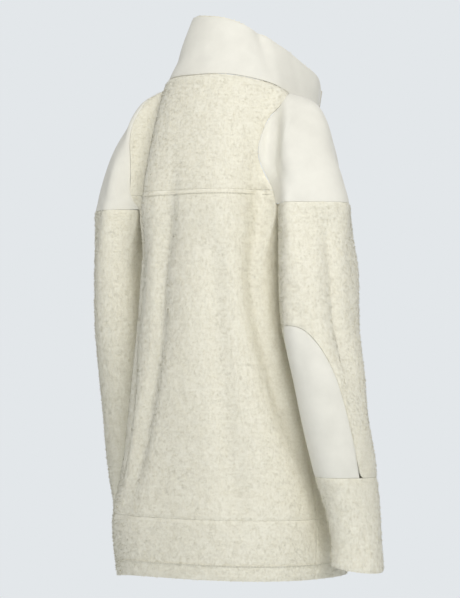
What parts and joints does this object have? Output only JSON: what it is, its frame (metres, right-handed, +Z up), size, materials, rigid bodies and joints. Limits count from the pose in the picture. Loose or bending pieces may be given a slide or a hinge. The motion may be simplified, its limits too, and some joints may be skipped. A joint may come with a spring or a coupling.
{
  "type": "sherpa zip jacket",
  "caption": "Fleece jacket with smooth shoulder caps, elbow patches and a stand collar, zipped at the front and open at the neck.",
  "frame": {"origin": "middle of the neck opening, at the height of the neck seam's back, where the wearer carries it", "axes": "+Z up, front faces -Y, the wearer's left side is +X"},
  "size_m": [0.5855, 0.319, 0.8962],
  "materials": {
    "fleece": "long sherpa pile, matt",
    "woven": "smooth close weave, matt",
    "tape": "woven zip tape",
    "metal": "satin"
  },
  "bodies": {
    "jacket": {"back_yoke": "fleece", "back": "fleece", "front_left": "fleece", "front_right": "fleece", "hem_band_back": "fleece", "hem_band_left": "fleece", "hem_band_right": "fleece", "sleeve_upper_left": "fleece", "sleeve_upper_right": "fleece", "sleeve_lower_left": "fleece", "sleeve_lower_right": "fleece", "collar_inner": "fleece", "shoulder_cap_left": "woven", "shoulder_cap_right": "woven", "elbow_patch_left": "woven", "elbow_patch_right": "woven", "collar_outer": "woven", "zip_tape_left": "tape", "zip_tape_right": "tape", "zip_slider": "metal"},
    "pull": {"zip_pull": "metal"}
  },
  "joints": [
    {"name": "pull_swing", "type": "hinge", "parent": "jacket", "child": "pull", "pos_m": [0, -0.12869, -0.2115], "axis": [-1, 0, 0], "range_deg": [0, 150]}
  ]
}
